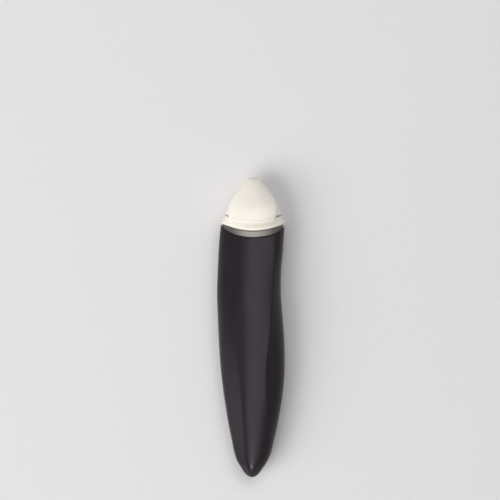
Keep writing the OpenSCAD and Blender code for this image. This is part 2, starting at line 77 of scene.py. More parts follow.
# The sleeve, the tube and the collar
TUBE_R = 4.4
TUBE_BORE = 3.6
SLEEVE_BORE = TUBE_R + 0.3
SLEEVE_R = SLEEVE_BORE + 0.8
SEAL_R = 0.55
SPIGOT_R = 3.55
SPIGOT_BORE = 2.8
SPIGOT_STEP = 3.4
SPIGOT_LENGTH = 4.0
NECK_SHOW = 2.4
NECK_DEPTH = 3.0
RING_INSET = 0.5
RING_PLAY = 0.1
COLLAR_H = 3.5
COLLAR_RISE = 3.0
# The nose and what is in it
NOSE_HALF = 10.3
NOSE_BACK = 6.3
NOSE_RISE = 2.6
PLUG_HALF = 7.6
PLUG_RISE = 4.1
PLUG_DEPTH = 5.6
PLUG_ROOT = 1.5
GASKET_T = 0.8
GASKET_RIM = 1.2
SLIT_DEPTH = 2.3
SLIT_FLOOR = 1.2
SLIT_REACH = 4.4
# Each slit: [side, share of its depth]
SLITS = [[-1, 0.6], [1, 1]]
WHEEL_R = 3.6
WHEEL_T = 0.8
WHEEL_OUT = 0.4
TEETH = 24
TOOTH_DEPTH = 0.5
# Points of a tooth: [share of the pitch, share of its depth]
TOOTH = [[0, 0], [0.15, 0], [0.5, 1], [0.65, 1]]
AXLE_R = 0.7
AXLE_SEAT = 1.0
WASHER_R = 2.0
WASHER_T = 0.3
THROAT_R = 3.1
THROAT_END_R = 1.7
CHEEK_PIN_R = 0.6
CHEEK_PIN_LENGTH = 1.4
CHEEK_PIN_PLACE = [6.2, 4.6]
# Gaps, and how far a cut runs on past a face
SEAT_GAP = 0.05
NECK_GAP = 0.4
NOSE_GAP = 0.1
END_GAP = 0.2
OVER = 1.0
SLIVER = 0.01
LONG_CUT = 20.0
# Sizes that differ from the construction's, to be nearer to the photograph
GRIP_FRONT = 9.385
MOUTH_RISE = 3.0
CORNER_GAP = 0.55
COLLAR_FLARE = 0.16
NOSE_FRONT = 6.85
SLIT_H = 0.6
# Turn of the surface at a fully sharp crease, in degrees, and how many times as far the nose's turn
CREASE_TURN = 17.0
NOSE_TURN = 1.9
# Reach of the two handles of a curve, as shares: beside a crease, and on a side of the back
BAND_HANDLES = [0.4, 0.45]
BACK_HANDLES = [0.5, 0.55]
# The seam between nose and collar closes to this, and the nose's edge comes down to it
SEAM = 0.03
# Places on the grip from which its shells are hollow, its rings rise with the rim, and with its corners
HOLLOW_FROM = 0.118
RIM_FROM = 0.75
CORNERS_FROM = 0.88
# Powers with which the nose's rings lose the rise of its edge, and the shift that closes its seam
RISE_FADE = 1.5
SEAM_FADE = 8
# The neck ring's fine grooves: their places and half width as shares of its height, and their depth
GROOVES = [0.33, 0.67]
GROOVE_HALF = 0.03
GROOVE_DEPTH = 0.025
# Radii of the small moulded and cut edges
LIP_R = 0.35
JOINT_R = 0.09
SEAM_R = 0.05
FLARE_R = 0.45
RING_R = 0.22
GASKET_R = 0.22
FELT_R = 0.1

# Places along the pen
TIP_Y = OVERALL / 2
TAIL_Y = -OVERALL / 2
MOUTH_Y = TIP_Y - HEAD
GRIP_LENGTH = MOUTH_Y - TAIL_Y
COLLAR_Y = MOUTH_Y + NECK_SHOW
VALLEY_Y = COLLAR_Y + COLLAR_H
FLOOR_Y = MOUTH_Y - NECK_DEPTH
TUBE_TOP = FLOOR_Y - SPIGOT_STEP
SEAL_Y = FLOOR_Y - SPIGOT_STEP / 2
NOSE_Y = VALLEY_Y + NOSE_GAP
NOSE_TIP_Y = TIP_Y - WHEEL_OUT
NOSE_LENGTH = NOSE_TIP_Y - NOSE_Y
WHEEL_Y = TIP_Y - WHEEL_R
GASKET_Y = VALLEY_Y - PLUG_DEPTH - GASKET_T - SEAT_GAP
THROAT_Y = VALLEY_Y - PLUG_DEPTH + 0.3
CHAMBER_R = WHEEL_R + 0.4
CHAMBER_HALF = WHEEL_T / 2 + WASHER_T + 2 * SEAT_GAP
SLOT_HALF = WHEEL_T / 2 + 0.2
THROAT_END_Y = WHEEL_Y - CHAMBER_R + 0.1
RIB_PLACES = [MOUTH_Y - 10, MOUTH_Y - 32, TAIL_Y + 32]
BOSS_PLACES = [MOUTH_Y - 26, MOUTH_Y - 41]
TAIL_BOSS_Y = TAIL_Y + 20
# Points on the pen's axis: its middle and the wheel's
AXIS = [AXIS_X, 0, 0]
WHEEL_AXIS = [AXIS_X, WHEEL_Y, 0]

# Left and right reach of the grip as shares of its half width: [place from tail to mouth, left, right]
GRIP_OUTLINE = [[0, 0.25, 0.25], [0.02, 0.29, 0.29], [0.04, 0.325, 0.335], [0.07, 0.43, 0.45],
                [0.1, 0.5, 0.54], [0.17, 0.6, 0.655], [0.25, 0.705, 0.77], [0.35, 0.81, 0.88],
                [0.45, 0.892, 0.932], [0.55, 0.94, 0.926], [0.65, 0.973, 0.884], [0.76, 1, 0.826],
                [0.85, 0.98, 0.832], [0.93, 0.942, 0.89], [1, 0.885, 0.93]]
# Height of the front and depth of the back as shares of their sizes
GRIP_PROFILE = [[0, 0.32, 0.35], [0.04, 0.45, 0.51], [0.1, 0.6, 0.68], [0.17, 0.73, 0.82],
                [0.25, 0.84, 0.93], [0.35, 0.93, 1], [0.55, 1, 1.02], [0.76, 0.94, 1],
                [0.93, 0.83, 0.935], [1, 0.777, 0.888]]
# Each crease: [place, reach as a share of its side, height as a share of the front, sharpness]
LEFT_CREASE = [[0, 0.46, 0.89, 0.9], [0.09, 0.46, 0.87, 1], [0.17, 0.42, 0.87, 1], [0.35, 0.4, 0.87, 1],
               [0.47, 0.43, 0.85, 0.75], [0.6, 0.5, 0.81, 0.2], [0.8, 0.58, 0.76, 0], [1, 0.6, 0.74, 0]]
RIGHT_CREASE = [[0, 0.72, 0.62, 0.2], [0.17, 0.72, 0.64, 0.3], [0.3, 0.52, 0.79, 0.5],
                [0.44, 0.42, 0.88, 0.9], [0.55, 0.5, 0.855, 1], [0.65, 0.6, 0.8, 1],
                [0.85, 0.76, 0.66, 1], [0.93, 0.74, 0.67, 0.5], [1, 0.66, 0.72, 0.1]]
# The nose from collar to tip: [place, half width, front height, back depth] as shares of its sizes
NOSE_OUTLINE = [[0, 1, 1, 1], [0.15, 0.936, 0.975, 0.97], [0.3, 0.858, 0.91, 0.9], [0.45, 0.766, 0.80, 0.8],
                [0.6, 0.652, 0.66, 0.69], [0.75, 0.519, 0.505, 0.57], [0.82, 0.455, 0.45, 0.52],
                [0.88, 0.42, 0.42, 0.48], [1, 0.44, 0.41, 0.43]]
# The nose's creases: [place, left reach, right reach, height as a share of the front, sharpness]
NOSE_CREASES = [[0, 0.86, 0.76, 0.62, 1], [0.22, 0.87, 0.85, 0.65, 1], [0.38, 0.91, 0.91, 0.65, 0.9],
                [0.57, 0.93, 0.9, 0.65, 0.8], [0.75, 0.88, 0.82, 0.67, 0.6], [1, 0.8, 0.75, 0.69, 0.2]]
# The collar's creases are blunt: their reach as a share of its half width and their height
COLLAR_CREASE = [0.63, 0.74]

# Points along a band beside a crease, along the front panel, and along a side of the back and its strip
BAND_POINTS = 26
PANEL_POINTS = 40
SIDE_POINTS = 42
STRIP_POINTS = 2 * BAND_POINTS + PANEL_POINTS - 2 * SIDE_POINTS
# Powers that draw points together towards the widest points, and the grip's rings towards its tail
EDGE_CROWDING = 2.2
TAIL_CROWDING = 1.5
# Rings of the grip and of its mouth's lip, of the nose, and of the powder with the points across it
GRIP_RINGS = 190
LIP_RINGS = 8
NOSE_RINGS = 90
CHALK_RINGS = 161
CHALK_POINTS = 41

# Half the floor's width in metres
FLOOR_HALF = 3.0
# The photograph's frame in millimetres: its width at the height of the joint, and its middle
VIEW_WIDTH = 178.3
VIEW_X = -0.385
VIEW_Y = 27.5
# The camera's height above the joint, and the width of its sensor
CAMERA_DISTANCE = 1000.0
SENSOR = 36.0


def lerp(a, b, share):
    """The value that lies a share of the way from a to b."""
    return a + (b - a) * share


def ease(t):
    """A smooth step from 0 to 1."""
    u = min(1.0, max(0.0, t))
    return u * u * (3 - 2 * u)


def along(table, t, k):
    """Smooth value of a table's column k at place t."""
    i = 0
    while i < len(table) - 2 and t > table[i + 1][0]:
        i += 1

    def slope(j):
        a, b = table[max(j - 1, 0)], table[min(j + 1, len(table) - 1)]
        return (b[k] - a[k]) / (b[0] - a[0])

    d = table[i + 1][0] - table[i][0]
    u = (t - table[i][0]) / d
    return ((2 * u**3 - 3 * u**2 + 1) * table[i][k] + (u**3 - 2 * u**2 + u) * d * slope(i)
            + (3 * u**2 - 2 * u**3) * table[i + 1][k] + (u**3 - u**2) * d * slope(i + 1))


def rounding(distance, reach):
    """Share of the full width left at a distance from a rounded end, which closes at the end itself."""
    flat = END_FLAT * ease(distance / (4 * END_FLAT))
    return math.sqrt(1 - (1 - min(1.0, (distance + flat) / reach)) ** 2)


def rise(x, h, corner=0.0):
    """A rim's rise at x, for a rise of h at RIM_HALF from the axis and a steeper one at its corners."""
    u = (x - AXIS_X) / RIM_HALF
    return h * u**2 + corner * u**6


def grip_section(t):
    """[left, right, front, back, left crease, right crease] at place t of the grip, 0 at its tail and 1
    at its mouth. Each crease is (x, height, sharpness)."""
    r = rounding(t * GRIP_LENGTH, TAIL_ROUND)
    left = -GRIP_HALF * along(GRIP_OUTLINE, t, 1) * r
    right = GRIP_HALF * along(GRIP_OUTLINE, t, 2) * r
    front = GRIP_FRONT * along(GRIP_PROFILE, t, 1) * r
    back = GRIP_BACK * min(1.0, along(GRIP_PROFILE, t, 2)) * r
    creases = [(side * along(table, t, 1), front * along(table, t, 2), along(table, t, 3))
               for side, table in ((left, LEFT_CREASE), (right, RIGHT_CREASE))]
    return [left, right, front, back, *creases]


def nose_section(q):
    """The same at place q of the nose, 0 at the collar and 1 at the tip."""
    r = rounding((1 - q) * NOSE_LENGTH, TIP_ROUND)
    half = NOSE_HALF * along(NOSE_OUTLINE, q, 1) * r
    front = NOSE_FRONT * along(NOSE_OUTLINE, q, 2) * r
    back = NOSE_BACK * along(NOSE_OUTLINE, q, 3) * r
    height = front * along(NOSE_CREASES, q, 3)
    sharpness = NOSE_TURN * along(NOSE_CREASES, q, 4)
    return [AXIS_X - half, AXIS_X + half, front, back,
            (AXIS_X - half * along(NOSE_CREASES, q, 1), height, sharpness),
            (AXIS_X + half * along(NOSE_CREASES, q, 2), height, sharpness)]


def collar_section():
    """The collar at its widest, in the middle of the head."""
    s = grip_section(1)
    half = (s[1] - s[0]) / 2
    front = s[2] + COLLAR_FLARE
    reach, height = COLLAR_CREASE[0] * half, COLLAR_CREASE[1] * front
    return [AXIS_X - half, AXIS_X + half, front, s[3] + COLLAR_FLARE,
            (AXIS_X - reach, height, 0), (AXIS_X + reach, height, 0)]


def between(a, b, share):
    """A section between two others."""
    creases = [tuple(lerp(u, v, share) for u, v in zip(one, two)) for one, two in zip(a[4:6], b[4:6])]
    return [*(lerp(u, v, share) for u, v in zip(a[:4], b[:4])), *creases]


# The head's axis lies right of the grip's middle, and the widest points are centred on X = 0
SHIFT_X = (GRIP_HALF - collar_section()[1]) / 2
# The mouth's corners come up to the collar's edge but for their gap
COLLAR_SHARE = (collar_section()[1] - AXIS_X) / RIM_HALF
MOUTH_CORNER = (NECK_SHOW + (COLLAR_RISE - MOUTH_RISE) * COLLAR_SHARE**2 - CORNER_GAP) / COLLAR_SHARE**6


def bezier(points, t):
    """Points of a cubic curve at places t."""
    p = np.asarray(points, float)
    t = t[:, None]
    return (1 - t) ** 3 * p[0] + 3 * t * (1 - t) ** 2 * p[1] + 3 * t * t * (1 - t) * p[2] + t**3 * p[3]


def towards_edge(count):
    """Places along a curve that lie closer together towards its end."""
    u = np.arange(1, count + 1) / count
    return 1 - (1 - u) ** EDGE_CROWDING


def band(crease, turn, edge_x, side):
    """The band from a crease down to the widest point of its side."""
    a = math.radians(turn + crease[2] * CREASE_TURN)
    reach = BAND_HANDLES[0] * math.hypot(edge_x - crease[0], crease[1])
    return [[crease[0], crease[1]],
            [crease[0] + side * reach * math.cos(a), crease[1] - reach * math.sin(a)],
            [edge_x, BAND_HANDLES[1] * crease[1]], [edge_x, 0]]


def front_curve(s, inset=0.0):
    """The front of a section from left to right, drawn in all round by inset."""
    left, right, front = s[0] + inset, s[1] - inset, s[2] - inset
    narrow = (right - left) / (s[1] - s[0])
    low = front / s[2]
    middle = (s[0] + s[1]) / 2
    lc, rc = [(middle + (c[0] - middle) * narrow, c[1] * low, c[2]) for c in s[4:6]]
    # The middle of the panel's cubic rises by three quarters of its inner points' lift
    lift = (front - (lc[1] + rc[1]) / 2) / 0.75
    third = (rc[0] - lc[0]) / 3
    turn = math.degrees(math.atan2(lift, third))
    down = towards_edge(BAND_POINTS)
    panel = [[lc[0], lc[1]], [lc[0] + third, lc[1] + lift], [rc[0] - third, rc[1] + lift], [rc[0], rc[1]]]
    return np.concatenate([
        bezier(band(lc, turn, left, -1), down)[::-1],
        bezier(panel, np.arange(PANEL_POINTS + 1) / PANEL_POINTS),
        bezier(band(rc, turn, right, 1), down)])


def back_curve(s, inset=0.0):
    """The back of a section from left to right, with a flat strip along its middle."""
    left, right, back = s[0] + inset, s[1] - inset, -(s[3] - inset)
    middle = (left + right) / 2
    strip = min(REST_HALF, (right - left) / 5)
    a, b = middle - strip, middle + strip
    out, deep = BACK_HANDLES[0], BACK_HANDLES[1] * back
    down = towards_edge(SIDE_POINTS)
    flat = np.arange(STRIP_POINTS + 1) / STRIP_POINTS
    return np.concatenate([
        bezier([[a, back], [a - out * (a - left), back], [left, deep], [left, 0]], down)[::-1],
        np.stack([a + (b - a) * flat, np.full(STRIP_POINTS + 1, back)], 1),
        bezier([[b, back], [b + out * (right - b), back], [right, deep], [right, 0]], down)])


def eased_joint(curve, radius=JOINT_R):
    """A curve with the small moulded radius at its ends on the joint plane."""
    curve = curve.copy()
    depth = np.clip(radius - np.abs(curve[:, 1]), 0, radius)
    pull = radius - np.sqrt(radius**2 - depth**2)
    middle = (curve[0, 0] + curve[-1, 0]) / 2
    curve[:, 0] -= np.sign(curve[:, 0] - middle) * pull
    return curve


def joint_line(curve):
    """The joint plane under the points of a curve."""
    middle = (curve[0, 0] + curve[-1, 0]) / 2
    return np.stack([middle + JOINT_SHARE * (curve[:, 0] - middle), np.zeros(len(curve))], 1)


def ring(upper, lower, y, h, corner=0.0):
    """A closed ring of points in space at y, with a rim that rises by h and more at its corners."""
    p = np.concatenate([upper, lower[::-1]])
    return np.stack([p[:, 0], y + rise(p[:, 0], h, corner), p[:, 1]], 1)


def placed(points):
    """Points in the pen's own millimetres, with Z from the shells' joint, in metres in the frame."""
    return (np.asarray(points, float) + [SHIFT_X, 0, GRIP_BACK]) * MM


def piece(name, points, faces):
    """A mesh object from points in the pen's own millimetres, with its faces turned outwards."""
    mesh = bpy.data.meshes.new(name)
    mesh.from_pydata(placed(points).tolist(), [], faces)
    made = bmesh.new()
    made.from_mesh(mesh)
    bmesh.ops.recalc_face_normals(made, faces=made.faces)
    made.to_mesh(mesh)
    made.free()
    o = bpy.data.objects.new(name, mesh)
    bpy.context.scene.collection.objects.link(o)
    return o


def loop_faces(n, loops, closed):
    """Faces between loops of n points each, and from the last loop to the first one if closed."""
    return [(k * n + i, k * n + (i + 1) % n, (k + 1) % loops * n + (i + 1) % n, (k + 1) % loops * n + i)
            for k in range(loops if closed else loops - 1) for i in range(n)]


def skin(name, rings):
    """A closed skin over rings of equal length, each an upper curve and a lower curve."""
    n = len(rings[0])
    half = n // 2
    faces = loop_faces(n, len(rings), False)
    for r in (0, len(rings) - 1):
        faces += [(r * n + i, r * n + i + 1, r * n + n - 2 - i, r * n + n - 1 - i) for i in range(half - 1)]
    return piece(name, np.concatenate(rings), faces)


def skin_round(name, rings):
    """A closed skin over rings that come back to the first one, as round a hoop."""
    return piece(name, np.concatenate(rings), loop_faces(len(rings[0]), len(rings), True))


def lathe(name, profile, centre, axis="Y", steps=96):
    """A closed outline of (radius, height) turned round an axis through centre, along Y or Z."""
    points = []
    for i in range(steps):
        a = 2 * math.pi * i / steps
        for r, h in profile:
            x, side = r * math.cos(a), r * math.sin(a)
            points.append([x, h, side] if axis == "Y" else [x, side, h])
    o = piece(name, np.array(points) + centre, loop_faces(len(profile), steps, True))
    weld(o)
    return o


def weld(o, distance=1e-7):
    """Joins points that coincide, such as those of a lathe's outline on its axis."""
    made = bmesh.new()
    made.from_mesh(o.data)
    bmesh.ops.remove_doubles(made, verts=made.verts, dist=distance)
    bmesh.ops.dissolve_degenerate(made, edges=made.edges, dist=distance)
    bmesh.ops.recalc_face_normals(made, faces=made.faces)
    made.to_mesh(o.data)
    made.free()


def rod(name, centre, radius, low, high, axis="Y", end_radius=None):
    """A plain solid of revolution that a boolean uses."""
    top = radius if end_radius is None else end_radius
    return lathe(name, [(0, low), (radius, low), (top, high), (0, high)], centre, axis)


def slab(name, outline, low, high, across):
    """An outline of (a, b) points made solid between two heights along the axis named across, Y or Z."""
    n = len(outline)
    points = [[a, h, b] if across == "Y" else [a, b, h] for h in (low, high) for a, b in outline]
    faces = [(i, (i + 1) % n, n + (i + 1) % n, n + i) for i in range(n)]
    faces += [tuple(range(n)), tuple(range(2 * n - 1, n - 1, -1))]
    return piece(name, points, faces)


def stadium(half, height, steps=24):
    """A flat outline with round ends."""
    turn = np.linspace(-math.pi / 2, math.pi / 2, steps)
    right = np.stack([half - height + height * np.cos(turn), height * np.sin(turn)], 1)
    return np.concatenate([right, -right]) + [AXIS_X, 0]


def combine(o, tools, operation):
    """Applies one boolean for each tool, and takes the tools away."""
    for tool in tools:
        step = o.modifiers.new(tool.name, "BOOLEAN")
        step.operation = operation
        step.solver = "MANIFOLD"
        step.object = tool
    settle(o)
    for tool in tools:
        mesh = tool.data
        bpy.data.objects.remove(tool)
        bpy.data.meshes.remove(mesh)


def settle(o):
    """Applies all modifiers of o to its mesh."""
    graph = bpy.context.evaluated_depsgraph_get()
    old = o.data
    o.data = bpy.data.meshes.new_from_object(o.evaluated_get(graph))
    o.modifiers.clear()
    bpy.data.meshes.remove(old)


def smooth(o, angle=32):
    """Shades o smooth, with the edges that turn by more than angle kept sharp."""
    o.data.polygons.foreach_set("use_smooth", [True] * len(o.data.polygons))
    o.data.set_sharp_from_angle(angle=math.radians(angle))


def bevelled(o, width):
    """Small eased edges on a CAD node that shows as it is."""
    step = o.modifiers.new("eased_edges", "BEVEL")
    step.width = width * MM
    step.segments = 2
    step.limit_method = "ANGLE"
    step.angle_limit = math.radians(35)


def finish_piece(o, body, nodes, material, angle=32):
    """Shades a new piece and says what it rides on, which nodes it stands for and how it is finished."""
    smooth(o, angle)
    o.data.materials.clear()
    o.data.materials.append(material)
    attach(o, body)
    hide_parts(*nodes)


# Material helpers
def new_material(name):
    """[material, its node tree, its shader, the place on the object that its textures follow]"""
    material = bpy.data.materials.new(name)
    material.use_nodes = True
    tree = material.node_tree
    shader = tree.nodes["Principled BSDF"]
    place = tree.nodes.new("ShaderNodeTexCoord").outputs["Object"]
    return material, tree, shader, place


def noise_value(tree, place, scale, detail=3.0, roughness=0.55):
    """Fractal noise at place, with a scale in cells to the metre."""
    node = tree.nodes.new("ShaderNodeTexNoise")
    node.inputs["Scale"].default_value = scale
    node.inputs["Detail"].default_value = detail
    node.inputs["Roughness"].default_value = roughness
    tree.links.new(place, node.inputs["Vector"])
    return node.outputs["Fac"]


def stretched(tree, place, factors):
    """A place drawn out along the axes with small factors, for lines and flow."""
    node = tree.nodes.new("ShaderNodeMapping")
    node.inputs["Scale"].default_value = factors
    tree.links.new(place, node.inputs["Vector"])
    return node.outputs["Vector"]


def ranged(tree, value, low, high, to_low, to_high):
    """A value between low and high taken to a new range."""
    node = tree.nodes.new("ShaderNodeMapRange")
    for i, v in enumerate((low, high, to_low, to_high)):
        node.inputs[i + 1].default_value = v
    tree.links.new(value, node.inputs[0])
    return node.outputs[0]


def mixed(tree, share, a, b):
    """A colour between a and b, each a colour or an output."""
    node = tree.nodes.new("ShaderNodeMix")
    node.data_type = "RGBA"
    tree.links.new(share, node.inputs["Factor"])
    for socket, value in ((node.inputs["A"], a), (node.inputs["B"], b)):
        if isinstance(value, bpy.types.NodeSocket):
            tree.links.new(value, socket)
        else:
            socket.default_value = (*value, 1)
    return node.outputs["Result"]


def bump(tree, shader, heights):
    """Adds up relief: each height is (output, strength, depth in millimetres)."""
    normal = None
    for output, strength, depth in heights:
        node = tree.nodes.new("ShaderNodeBump")
        node.inputs["Strength"].default_value = strength
        node.inputs["Distance"].default_value = depth * MM
        tree.links.new(output, node.inputs["Height"])
        if normal is not None:
            tree.links.new(normal, node.inputs["Normal"])
        normal = node.outputs["Normal"]
    tree.links.new(normal, shader.inputs["Normal"])


def surface(tree, shader, colour, value, roughness, heights, span=(0.3, 0.7)):
    """Links a colour, a roughness that follows a value's span, and relief to the shader."""
    tree.links.new(colour, shader.inputs["Base Color"])
    tree.links.new(ranged(tree, value, *span, *roughness), shader.inputs["Roughness"])
    bump(tree, shader, heights)


def edge_share(tree, low, high):
    """From 0 to 1 as the surface's pointiness goes from low to high: edges are above 0.5."""
    geometry = tree.nodes.new("ShaderNodeNewGeometry")
    return ranged(tree, geometry.outputs["Pointiness"], low, high, 0, 1)


def grip_plastic():
    """Satin aubergine black: fine spark-eroded grain, slight mottling and brighter handled edges."""
    material, tree, shader, place = new_material("grip_plastic")
    mottle = noise_value(tree, place, 55, 5)
    grain = noise_value(tree, place, 3600, 2)
    pits = noise_value(tree, place, 1500, 4)
    drift = noise_value(tree, stretched(tree, place, (1, 0.25, 1)), 260, 4)
    base = mixed(tree, mottle, (0.0135, 0.0107, 0.0140), (0.0180, 0.0145, 0.0180))
    worn = mixed(tree, edge_share(tree, 0.52, 0.6), base, (0.026, 0.022, 0.028))
    surface(tree, shader, worn, drift, (0.29, 0.37), [(pits, 0.35, 0.012), (grain, 0.4, 0.006)])
    shader.inputs["Specular IOR Level"].default_value = 0.23
    shader.inputs["Specular Tint"].default_value = (1.0, 0.92, 1.0, 1)
    return material


def head_plastic(name="head_plastic", light=(0.905, 0.875, 0.805), deep=(0.875, 0.84, 0.76)):
    """Warm white moulded plastic with a soft gloss, a little depth, and painted shade that darkens it
    towards brown in its crevices.
    """
    material, tree, shader, place = new_material(name)
    mottle = noise_value(tree, place, 90, 4)
    flow = noise_value(tree, stretched(tree, place, (1, 0.35, 1)), 420, 3)
    grain = noise_value(tree, place, 2800, 2)
    base = mixed(tree, ranged(tree, mottle, 0.3, 0.7, 0, 1), light, deep)
    # Painted shade: where the surface is hollow, as in crevices and slits, the colour goes towards a dark
    # brown
    crevice_shade = mixed(tree, edge_share(tree, 0.47, 0.40), base, (0.20, 0.155, 0.105))
    surface(tree, shader, crevice_shade, flow, (0.3, 0.4), [(flow, 0.2, 0.01), (grain, 0.3, 0.004)])
    shader.inputs["Subsurface Weight"].default_value = 0.2
    shader.inputs["Subsurface Radius"].default_value = (1.0, 0.7, 0.35)
    shader.inputs["Subsurface Scale"].default_value = 0.5 * MM
    return material


def inner_plastic():
    """Grey polypropylene with fine turning lines from its mould core."""
    material, tree, shader, place = new_material("inner_plastic")
    lines = noise_value(tree, stretched(tree, place, (0.05, 1, 0.05)), 1800, 3)
    mottle = noise_value(tree, place, 160, 4)
    colour = mixed(tree, mottle, (0.66, 0.66, 0.685), (0.74, 0.74, 0.76))
    surface(tree, shader, colour, mottle, (0.45, 0.58), [(lines, 0.4, 0.012)])
    return material


def neck_plastic():
    """Matt plastic with faint lines round it, painted dark as shade where it faces sideways and lighter as
    painted light where it faces up.
    """
    material, tree, shader, place = new_material("neck_plastic")
    lines = noise_value(tree, stretched(tree, place, (0.08, 1, 0.08)), 1500, 3)
    mottle = noise_value(tree, place, 190, 4)
    # Painted light and shade: the colour follows the way the surface faces, dark where it faces sideways
    # and a lighter mottled tone where it faces up
    facing = tree.nodes.new("ShaderNodeSeparateXYZ")
    tree.links.new(place.node.outputs["Normal"], facing.inputs["Vector"])
    facing_up_light = ranged(tree, facing.outputs["Z"], 0.87, 0.995, 0, 1)
    lit_tone = mixed(tree, mottle, (0.277, 0.255, 0.226), (0.332, 0.307, 0.272))
    colour = mixed(tree, facing_up_light, (0.085, 0.077, 0.082), lit_tone)
    surface(tree, shader, colour, mottle, (0.5, 0.65), [(lines, 0.1, 0.005)])
    return material


def tube_plastic():
    """Milky tube through which the powder shows."""
    material, tree, shader, place = new_material("tube_plastic")
    clouds = noise_value(tree, place, 240, 4)
    lines = noise_value(tree, stretched(tree, place, (1, 0.06, 1)), 900, 2)
    colour = mixed(tree, clouds, (0.84, 0.865, 0.885), (0.89, 0.91, 0.92))
    surface(tree, shader, colour, clouds, (0.24, 0.36), [(lines, 0.25, 0.01)])
    shader.inputs["Alpha"].default_value = 0.82
    return material


def seal_rubber():
    """Black rubber with a dull bloom."""
    material, tree, shader, place = new_material("seal_rubber")
    bloom = noise_value(tree, place, 500, 5)
    grain = noise_value(tree, place, 4200, 2)
    colour = mixed(tree, bloom, (0.018, 0.018, 0.019), (0.045, 0.045, 0.048))
    surface(tree, shader, colour, bloom, (0.55, 0.75), [(grain, 0.5, 0.01)])
    return material


def chalk_powder():
    """Loose white powder: soft clumps, fine grains and no gloss."""
    material, tree, shader, place = new_material("chalk_powder")
    clumps = noise_value(tree, place, 900, 6)
    grains = noise_value(tree, place, 5200, 3)
    colour = mixed(tree, clumps, (0.84, 0.84, 0.83), (0.93, 0.93, 0.925))
    surface(tree, shader, colour, grains, (0.88, 1.0), [(clumps, 0.8, 0.12), (grains, 0.8, 0.05)])
    shader.inputs["Specular IOR Level"].default_value = 0.15
    return material


def gasket_foam():
    """Grey closed-cell foam with small open pores on its cut faces."""
    material, tree, shader, place = new_material("gasket_foam")
    cells = tree.nodes.new("ShaderNodeTexVoronoi")
    cells.inputs["Scale"].default_value = 4200
    tree.links.new(place, cells.inputs["Vector"])
    pores = ranged(tree, cells.outputs["Distance"], 0.1, 0.6, 0, 1)
    colour = mixed(tree, pores, (0.16, 0.16, 0.17), (0.38, 0.38, 0.4))
    surface(tree, shader, colour, pores, (0.9, 0.75), [(pores, 0.9, 0.06)], span=(0, 1))
    return material


def wool_felt():
    """Pressed felt: matted fibres that lie every way."""
    material, tree, shader, place = new_material("wool_felt")
    warped = noise_value(tree, stretched(tree, place, (1, 3, 1)), 2600, 5, 0.7)
    crossed = noise_value(tree, stretched(tree, place, (3, 1, 1)), 2400, 5, 0.7)
    colour = mixed(tree, warped, (0.66, 0.64, 0.585), (0.8, 0.78, 0.73))
    surface(tree, shader, colour, crossed, (0.85, 1.0), [(warped, 0.9, 0.05), (crossed, 0.9, 0.05)])
    shader.inputs["Sheen Weight"].default_value = 0.3
    return material


def steel(name, light, dark, stretch, scale):
    """Metal with fine lines from its making."""
    material, tree, shader, place = new_material(name)
    lines = noise_value(tree, stretched(tree, place, stretch), scale, 4)
    stain = noise_value(tree, place, 700, 4)
    surface(tree, shader, mixed(tree, stain, light, dark), lines, (0.38, 0.52), [(lines, 0.35, 0.008)])
    shader.inputs["Metallic"].default_value = 1.0
    return material


# The grip
def grip_stations():
    """[place, outer inset, inner inset] of each ring from the tail to the rounded lip of the mouth."""
    found = []
    for i in range(GRIP_RINGS):
        t = lerp(END_STOP, GRIP_LENGTH - LIP_R, (i / (GRIP_RINGS - 1)) ** TAIL_CROWDING) / GRIP_LENGTH
        found.append([t, 0.0, WALL])
    for i in range(1, LIP_RINGS + 1):
        a = math.radians(90 * i / LIP_RINGS)
        t = 1 - LIP_R * (1 - math.sin(a)) / GRIP_LENGTH
        found.append([t, LIP_R * (1 - math.cos(a)), WALL - LIP_R * (1 - math.cos(a))])
    return found


def grip_rises(t):
    """The rise of the rim at place t, and that of its corners. Both fade out down the grip."""
    rim, corners = [ease((t - start) / (1 - start)) for start in (RIM_FROM, CORNERS_FROM)]
    return MOUTH_RISE * rim, MOUTH_CORNER * corners


def grip_skin(name, curve, upper_is_outer):
    """One shell: hollow under its wall, and closed by the joint's plane towards the tail."""
    rings = []
    for t, out, inside in grip_stations():
        s = grip_section(t)
        outer = eased_joint(curve(s, out), JOINT_R * rounding(t * GRIP_LENGTH, TAIL_ROUND))
        inner = curve(s, inside) if t >= HOLLOW_FROM else joint_line(outer)
        upper, lower = (outer, inner) if upper_is_outer else (inner, outer)
        rings.append(ring(upper, lower, TAIL_Y + t * GRIP_LENGTH, *grip_rises(t)))
    return skin(name, rings)


def section_at(y):
    """The grip's section at y."""
    return grip_section((y - TAIL_Y) / GRIP_LENGTH)


def bosses():
    """[x, y, height in the front shell, depth in the back shell]"""
    found = []
    for y in BOSS_PLACES:
        s = section_at(y)
        for x in (s[0] + WALL + BOSS_INSET, s[1] - WALL - BOSS_INSET):
            found.append([x, y, BOSS_H, BOSS_H])
    s = section_at(TAIL_BOSS_Y)
    return [*found, [(s[4][0] + s[5][0]) / 2, TAIL_BOSS_Y, s[2] - BITE, s[3] - BITE]]


def ribs(curve):
    """The ribs of one shell, each with its round seat for the sleeve."""
    made = []
    for k, y in enumerate(RIB_PLACES):
        outline = curve(section_at(y), BITE)
        rib = slab(f"rib_{k}", outline.tolist(), y - RIB_T / 2, y + RIB_T / 2, "Y")
        seat = rod("seat", AXIS, SLEEVE_R + SEAT_GAP, y - RIB_T, y + RIB_T)
        combine(rib, [seat], "DIFFERENCE")
        made.append(rib)
    return made


